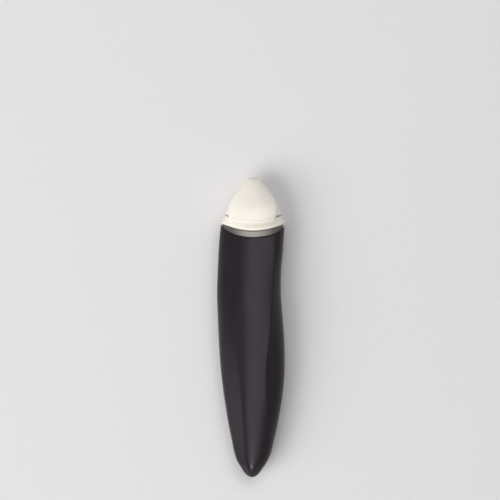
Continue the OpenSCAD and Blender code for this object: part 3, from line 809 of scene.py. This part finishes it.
def build_grip(material):
    """Both shells with their ribs and bosses, the front one's pin holes and the back one's pins."""
    places = bosses()
    front = grip_skin("grip_front", front_curve, True)
    posts = [rod("post", [x, y, 0], BOSS_R, 0, high, "Z") for x, y, high, _ in places]
    combine(front, ribs(front_curve) + posts, "UNION")
    hole_end = PIN_LENGTH + END_GAP
    holes = [rod("hole", [x, y, 0], PIN_R + SEAT_GAP, -OVER, hole_end, "Z") for x, y, _, _ in places]
    combine(front, holes, "DIFFERENCE")
    finish_piece(front, "grip", ["grip_front_shell"], material)
    back = grip_skin("grip_back", back_curve, False)
    posts = [rod("post", [x, y, 0], BOSS_R, -deep, 0, "Z") for x, y, _, deep in places]
    lead = 0.2
    outline = [(0, -OVER), (PIN_R, -OVER), (PIN_R, PIN_LENGTH - lead), (PIN_R - lead, PIN_LENGTH),
               (0, PIN_LENGTH)]
    pins = [lathe("pin", outline, [x, y, 0], "Z") for x, y, _, _ in places]
    combine(back, ribs(back_curve) + posts + pins, "UNION")
    finish_piece(back, "grip", ["grip_back_shell"], material)


# The collar
def closed_ring(s, inset, y, h, corner=0.0):
    """A ring of a piece that goes all the way round."""
    half = [0, SIDE_FLAT / 2]
    return ring(front_curve(s, inset) + half, back_curve(s, inset) - half, y, h, corner)


def collar_rings():
    """Rings from the neck's foot, out to the flare and down its soft hollow to the nose's section."""
    mouth, wide, top = grip_section(1), collar_section(), nose_section(0)
    inset = WALL + NECK_GAP
    under = inset - 0.1
    low = COLLAR_Y + 0.05
    step = 0.12
    # Each ring: [y, section, inset, rise]
    steps = [
        [FLOOR_Y, mouth, inset + 0.55, 0], [FLOOR_Y + step, mouth, inset + 0.37, 0],
        [FLOOR_Y + 0.4, mouth, inset + 0.3, 0.3], [MOUTH_Y - 0.5, mouth, inset, MOUTH_RISE / 2],
        [COLLAR_Y - 0.4, mouth, inset, COLLAR_RISE], [COLLAR_Y + step, mouth, inset, COLLAR_RISE],
        [low + step, mouth, under, COLLAR_RISE]]
    steps += [[low + step * (1 - u), between(mouth, wide, u), lerp(under, FLARE_R, u), COLLAR_RISE]
              for u in (0.25, 0.5, 0.75)]
    for a in np.radians(np.linspace(-90, 0, 12)):
        steps.append([low + FLARE_R * (1 + math.sin(a)), wide, FLARE_R * (1 - math.cos(a)), COLLAR_RISE])
    for u in np.linspace(0, 1, 29)[1:-1]:
        y = lerp(low + FLARE_R, VALLEY_Y, u)
        share = ease((u - 0.03) / 0.75)
        steps.append([y, between(wide, top, share), 0, lerp(COLLAR_RISE, NOSE_RISE, ease(u / 0.9))])
    for a in np.radians(np.linspace(0, 90, 4)):
        steps.append([VALLEY_Y - SEAM_R * (1 - math.sin(a)), top, SEAM_R * (1 - math.cos(a)), NOSE_RISE])
    return [closed_ring(s, i, y, h) for y, s, i, h in steps]


def build_collar(material):
    """The collar with its neck and spigot, the socket for the nose's plug and the seal's groove."""
    collar = skin("collar", collar_rings())
    end, root = TUBE_TOP - SPIGOT_LENGTH, FLOOR_Y + OVER
    lead, edge = 0.25, 0.15
    spigot = [(0, end), (SPIGOT_R - lead, end), (SPIGOT_R, end + lead), (SPIGOT_R, TUBE_TOP),
              (TUBE_R - edge, TUBE_TOP), (TUBE_R, TUBE_TOP + edge), (TUBE_R, root), (0, root)]
    combine(collar, [lathe("spigot", spigot, AXIS)], "UNION")
    outline = stadium(PLUG_HALF + NOSE_GAP, PLUG_RISE + NOSE_GAP)
    socket = slab("socket", outline, GASKET_Y, GASKET_Y + LONG_CUT, "Y")
    bore = rod("bore", AXIS, SPIGOT_BORE, end - OVER, TUBE_TOP + LONG_CUT)
    inside, outside = SLEEVE_BORE - SEAT_GAP - 2 * SEAL_R, TUBE_R + OVER
    low, high = SEAL_Y - SEAL_R - SEAT_GAP, SEAL_Y + SEAL_R + SEAT_GAP
    groove = lathe("groove", [(inside, low), (outside, low), (outside, high), (inside, high)], AXIS)
    combine(collar, [socket, bore, groove], "DIFFERENCE")
    finish_piece(collar, "cartridge", ["cartridge_collar"], material)


def build_neck(material):
    """The ring that fills the neck's waist, with eased edges and two fine grooves round it."""
    s = grip_section(1)
    inner, outer = WALL + NECK_GAP - SEAT_GAP, RING_INSET
    low, high = MOUTH_Y + RING_PLAY, COLLAR_Y - RING_PLAY
    eased = [[RING_R * (1 - math.cos(a)), outer + RING_R * (1 - math.sin(a))]
             for a in np.radians([30, 60, 90])]
    # Each ring: [share of the way from the mouth to the collar, offset along the pen, inset]
    steps = [[0, 0, inner], [0, 0, outer + RING_R], *([0, d, i] for d, i in eased)]
    for u in np.linspace(0.15, 0.85, 29):
        groove = max(math.exp(-((u - place) / GROOVE_HALF) ** 2) for place in GROOVES)
        steps.append([u, 0, outer + GROOVE_DEPTH * groove])
    steps += [*([1, -d, i] for d, i in reversed(eased)), [1, 0, outer + RING_R], [1, 0, inner]]
    rings = [closed_ring(s, i, lerp(low, high, u) + d, lerp(MOUTH_RISE, COLLAR_RISE, u),
                         MOUTH_CORNER * (1 - u)) for u, d, i in steps]
    neck = skin_round("neck", rings)
    finish_piece(neck, "cartridge", ["neck_ring"], material)


# The nose
def nose_stations():
    """[height above the edge, place, inset] of each ring, with a small round at the edge by the collar."""
    drop = SEAM - NOSE_GAP
    found = [[drop + SEAM_R * (1 - math.sin(a)), 0.0, SEAM_R * (1 - math.cos(a))]
             for a in np.radians(np.linspace(90, 0, 4))]
    for i in range(1, NOSE_RINGS):
        q = math.sin(math.radians(90 * i / (NOSE_RINGS - 1))) * (1 - END_STOP / NOSE_LENGTH)
        found.append([(drop + SEAM_R) * (1 - q) ** SEAM_FADE, q, 0.0])
    return found


def cheek(name, front_side):
    """Half of the nose, with its half of the plug."""
    curve, flat = (front_curve, SIDE_FLAT / 2) if front_side else (back_curve, -SIDE_FLAT / 2)
    rings = []
    for up, q, inset in nose_stations():
        outer = eased_joint(curve(nose_section(q), inset) + [0, flat])
        outer[0, 1] = outer[-1, 1] = 0
        upper, lower = (outer, joint_line(outer)) if front_side else (joint_line(outer), outer)
        rings.append(ring(upper, lower, NOSE_Y + up + q * NOSE_LENGTH, NOSE_RISE * (1 - q) ** RISE_FADE))
    made = skin(name, rings)
    plug = slab("plug", stadium(PLUG_HALF, PLUG_RISE), VALLEY_Y - PLUG_DEPTH, VALLEY_Y + PLUG_ROOT, "Y")
    block = 2 * NOSE_HALF
    low, high = (0, block) if front_side else (-block, 0)
    side = slab("side", [(-block, 0), (block, 0), (block, TIP_Y), (-block, TIP_Y)], low, high, "Z")
    combine(plug, [side], "INTERSECT")
    combine(made, [plug], "UNION")
    return made


def nose_hollows():
    """Everything the nose is hollowed for: the wheel with its washers and axle, the throat, the slits."""
    axle_end = CHAMBER_HALF + AXLE_SEAT
    inlet, outlet = THROAT_R + SEAT_GAP, THROAT_END_R + SEAT_GAP
    tools = [
        rod("slot", WHEEL_AXIS, CHAMBER_R, -SLOT_HALF, SLOT_HALF, "Z"),
        rod("chamber", WHEEL_AXIS, WASHER_R + SEAT_GAP, -CHAMBER_HALF, CHAMBER_HALF, "Z"),
        rod("axle_seat", WHEEL_AXIS, AXLE_R + SEAT_GAP, -axle_end, axle_end, "Z"),
        rod("inlet", AXIS, inlet, THROAT_Y - OVER, THROAT_Y + SLIVER),
        rod("throat", AXIS, inlet, THROAT_Y, THROAT_END_Y, "Y", outlet)]
    for side, share in SLITS:
        inner = AXIS_X + side * (NOSE_HALF - share * SLIT_DEPTH)
        outer = AXIS_X + side * (NOSE_HALF + OVER)
        outline = [(x, NOSE_Y + rise(x, NOSE_RISE) + SLIT_H) for x in (inner, outer)]
        outline += [(outer, VALLEY_Y - OVER), (inner, VALLEY_Y - OVER)]
        tools.append(slab("slit", outline, -SLIT_FLOOR, SLIT_REACH, "Z"))
    return tools


def build_nose(material):
    """Both cheeks: the front one has the holes for the back one's two pins."""
    x, y = CHEEK_PIN_PLACE
    pins = [[AXIS_X + side * x, VALLEY_Y + y, 0] for side in (-1, 1)]
    pin_end, hole_end = CHEEK_PIN_LENGTH, CHEEK_PIN_LENGTH + END_GAP
    front = cheek("nose_front", True)
    holes = [rod("hole", p, CHEEK_PIN_R + SEAT_GAP, -OVER, hole_end, "Z") for p in pins]
    combine(front, nose_hollows() + holes, "DIFFERENCE")
    finish_piece(front, "nose", ["nose_front_cheek"], material)
    back = cheek("nose_back", False)
    combine(back, nose_hollows(), "DIFFERENCE")
    combine(back, [rod("pin", p, CHEEK_PIN_R, -pin_end, pin_end, "Z") for p in pins], "UNION")
    finish_piece(back, "nose", ["nose_back_cheek"], material)


# The soft pieces
def lumps(x, y):
    """Height of the powder's surface at x and y: broad lumps with finer ones on them."""
    broad = noise.noise(Vector((x * 0.7, y * 0.55, 0.3)))
    fine = noise.noise(Vector((x * 2.3, y * 1.9, 4)))
    return broad + 0.45 * fine


def build_chalk(material):
    """The settled powder: a round underside in the tube and a lumpy top that slumps at both ends."""
    low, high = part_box("chalk_charge")
    start, stop = low.y / MM, high.y / MM
    # Height of the lumps, and the gaps to the tube and between the top and the round underside
    lump, play, skim = 0.3, 0.08, 0.02
    # The slumps towards the plug and the collar: their depths and the places where they end and start
    (low_slump, low_end), (high_slump, high_start) = (0.35, 0.06), (0.55, 0.9)
    top = high.z / MM - GRIP_BACK - 0.35
    reach = TUBE_BORE - play
    rings = []
    for i in range(CHALK_RINGS):
        u = i / (CHALK_RINGS - 1)
        y = start + (stop - start) * u
        level = top - high_slump * ease((u - high_start) / (1 - high_start))
        level -= low_slump * ease((low_end - u) / low_end)
        half = math.sqrt(reach**2 - level**2)
        x = np.linspace(-half, half, CHALK_POINTS)
        roof = np.sqrt(np.maximum(reach**2 - x**2, 0)) - skim
        z = np.minimum(level + lump * np.array([lumps(a, y) for a in x]), roof)
        z[0] = z[-1] = level
        left, right = math.atan2(level, -half), math.atan2(level, half)
        turn = np.linspace(left, right + 2 * math.pi, CHALK_POINTS)
        upper = np.stack([AXIS_X + x, z], 1)
        lower = np.stack([AXIS_X + reach * np.cos(turn), reach * np.sin(turn)], 1)
        lower[0], lower[-1] = upper[0] - [0, skim], upper[-1] - [0, skim]
        rings.append(ring(upper, lower, y, 0))
    chalk = skin("chalk_powder", rings)
    finish_piece(chalk, "cartridge", ["chalk_charge"], material, 50)


def hoop(name, path, outline):
    """A closed sweep of an outline of (outward, along Y) points round a flat path of (point, outward)."""
    points = [[point[0] + out[0] * a, h, point[1] + out[1] * a] for point, out in path for a, h in outline]
    return piece(name, points, loop_faces(len(outline), len(path), True))


def soft_outline(width, low, high, radius, steps=5):
    """A rectangle with round corners, from the inside out."""
    found = []
    corners = [(width - radius, low + radius, -90), (width - radius, high - radius, 0),
               (radius, high - radius, 90), (radius, low + radius, 180)]
    for a, h, start in corners:
        for k in range(steps):
            turn = math.radians(start + 90 * k / (steps - 1))
            found.append((a + radius * math.cos(turn), h + radius * math.sin(turn)))
    return found


def build_gasket(material):
    """The foam ring under the nose's plug, round the same stadium."""
    half, rim_rise = PLUG_HALF - GASKET_RIM, PLUG_RISE - GASKET_RIM
    path = []
    for side in (1, -1):
        middle = AXIS_X + side * (half - rim_rise)
        for turn in np.radians(np.linspace(-90, 90, 40)):
            out = (side * math.cos(turn), side * math.sin(turn))
            path.append(((middle + rim_rise * out[0], rim_rise * out[1]), out))
    low = GASKET_Y + SEAT_GAP / 2
    gasket = hoop("foam_gasket", path, soft_outline(GASKET_RIM, low, low + GASKET_T, GASKET_R))
    finish_piece(gasket, "cartridge", ["nose_gasket"], material, 60)


def build_washers(material):
    """A felt washer on each side of the wheel."""
    bore = AXLE_R + SEAT_GAP
    for name, node, z in (("felt_front", "felt_washer_front", WHEEL_T / 2 + SEAT_GAP),
                          ("felt_back", "felt_washer_back", -WHEEL_T / 2 - SEAT_GAP - WASHER_T)):
        outline = [(bore + a, h) for a, h in soft_outline(WASHER_R - bore, z, z + WASHER_T, FELT_R)]
        washer = lathe(name, outline, WHEEL_AXIS, "Z", 72)
        finish_piece(washer, "nose", [node], material, 60)


# The wheel
def build_wheel(material):
    """The toothed wheel: eased teeth, a raised rim and hub, and a dished face between them."""
    half = WHEEL_T / 2
    bore = AXLE_R + SEAT_GAP
    dish, rim, edge = 0.12, 2.6, 0.06
    # Rings of a face from the bore out to the rim: [radius, height]
    rings = [[bore, half - 0.05], [bore + 0.05, half], [WASHER_R - 0.05, half],
             [WASHER_R + 0.15, half - dish], [rim, half - dish], [rim + 0.15, half - 0.02]]
    # Points round the teeth: (angle from the tip, radius), with the first crest on the pen's axis
    crest = TOOTH[1][0] / 2
    around = [(2 * math.pi * (i + a - crest) / TEETH, WHEEL_R - d * TOOTH_DEPTH)
              for i in range(TEETH) for a, d in TOOTH]
    # Each loop: [(angle, radius) of its points, height], the last two round the teeth's eased edge
    loops = [[[(a, r) for a, _ in around], h] for r, h in rings]
    loops += [[[(a, r - shrink) for a, r in around], h] for shrink, h in ((edge, half), (0, half - edge))]
    points = [[r * math.sin(a), r * math.cos(a), side * h] for side in (1, -1) for loop, h in loops
              for a, r in loop]
    n, count = len(around), len(loops)
    faces = []

    def join(one, two):
        """Faces between two loops, counted through the front face and then the back one."""
        for i in range(n):
            j = (i + 1) % n
            faces.append((one * n + i, one * n + j, two * n + j, two * n + i))

    for k in range(count - 1):
        join(k, k + 1)
        join(count + k + 1, count + k)
    join(count - 1, 2 * count - 1)
    join(count, 0)
    wheel = piece("toothed_wheel", np.array(points) + WHEEL_AXIS, faces)
    finish_piece(wheel, "wheel", ["marking_wheel"], material, 25)


def dress_nodes(inner, tube, rubber, head, axle):
    """The CAD nodes that show as they are get their materials and small eased edges."""
    for node, material, width in (("socket_sleeve", inner, 0.08), ("cartridge_tube", tube, 0.08),
                                  ("tube_end_plug", head, 0.12), ("seal_ring", rubber, 0),
                                  ("powder_throat", inner, 0.05), ("wheel_axle", axle, 0.08)):
        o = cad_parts[node]
        o.data.materials.clear()
        o.data.materials.append(material)
        smooth(o)
        if width:
            bevelled(o, width)


def build_stage():
    """A plain pale floor: one large flat sheet."""
    mesh = bpy.data.meshes.new("floor")
    corners = [(-FLOOR_HALF, -FLOOR_HALF, 0), (FLOOR_HALF, -FLOOR_HALF, 0),
               (FLOOR_HALF, FLOOR_HALF, 0), (-FLOOR_HALF, FLOOR_HALF, 0)]
    mesh.from_pydata(corners, [], [(0, 1, 2, 3)])
    floor = bpy.data.objects.new("floor", mesh)
    bpy.context.scene.collection.objects.link(floor)
    material, tree, shader, place = new_material("floor_card")
    fibres = noise_value(tree, place, 700, 4)
    colour = mixed(tree, fibres, (0.71, 0.71, 0.715), (0.74, 0.74, 0.745))
    tree.links.new(colour, shader.inputs["Base Color"])
    shader.inputs["Roughness"].default_value = 0.9
    floor.data.materials.append(material)


def soft_light(name, place, size, watts, colour, matt=True, gloss=True, target=(0, 0, 0.01)):
    """A soft box: matt says that it lights surfaces, gloss that they mirror it."""
    data = bpy.data.lights.new(name, "AREA")
    data.shape = "RECTANGLE"
    data.size, data.size_y = size
    data.energy = watts
    data.color = colour
    o = bpy.data.objects.new(name, data)
    o.location = place
    o.rotation_euler = (Vector(target) - Vector(place)).to_track_quat("-Z", "Y").to_euler()
    o.visible_diffuse, o.visible_glossy = matt, gloss
    bpy.context.scene.collection.objects.link(o)


def build_lights():
    """Lamps that light the head aren't mirrored, and those that gleam along the dark grip light nothing,
    so that each of the two can be as bright as in the photograph. The left rim's lamp does both."""
    soft_light("overhead", (0.15, 0.45, 1.2), (0.8, 0.8), 6.2, (1.0, 0.98, 0.97), gloss=False)
    soft_light("panel_gleam", (0.30, -0.25, 1.2), (2.5, 1.9), 29.0, (1.0, 0.98, 0.97), matt=False)
    soft_light("tail_gleam", (0.1, -1.2, 0.85), (0.6, 0.4), 13.0, (0.95, 0.9, 1.0), matt=False)
    soft_light("left_key", (-0.85, -0.50, 0.98), (1.1, 1.1), 15.8, (1.0, 0.985, 0.955), gloss=False)
    soft_light("left_rim", (-1.25, -0.35, 0.05), (0.1, 0.9), 1.9, (0.88, 0.9, 1.0))
    world = bpy.data.worlds.new("studio")
    world.use_nodes = True
    background = world.node_tree.nodes["Background"]
    background.inputs["Color"].default_value = (0.95, 0.95, 1.0, 1)
    background.inputs["Strength"].default_value = 0.22
    bpy.context.scene.world = world


def build_camera():
    """Straight above the pen, as the photograph was taken."""
    data = bpy.data.cameras.new("camera")
    data.sensor_width = SENSOR
    data.lens = SENSOR * CAMERA_DISTANCE / VIEW_WIDTH
    data.clip_start, data.clip_end = 0.01, 10
    camera = bpy.data.objects.new("camera", data)
    camera.location = placed([VIEW_X - SHIFT_X, VIEW_Y, CAMERA_DISTANCE])
    bpy.context.scene.collection.objects.link(camera)
    bpy.context.scene.camera = camera


build_camera()
build_lights()
build_stage()
build_grip(grip_plastic())
head_material = head_plastic()
build_collar(head_plastic("collar_plastic", (0.90, 0.87, 0.785), (0.87, 0.83, 0.73)))
build_neck(neck_plastic())
build_nose(head_material)
build_chalk(chalk_powder())
build_gasket(gasket_foam())
build_washers(wool_felt())
build_wheel(steel("wheel_steel", (0.50, 0.49, 0.47), (0.42, 0.41, 0.39), (1, 1, 0.1), 2600))
dress_nodes(inner_plastic(), tube_plastic(), seal_rubber(), head_material,
            steel("axle_steel", (0.62, 0.62, 0.64), (0.52, 0.52, 0.54), (1, 1, 0.05), 3000))

bpy.context.scene.view_settings.view_transform = "Standard"
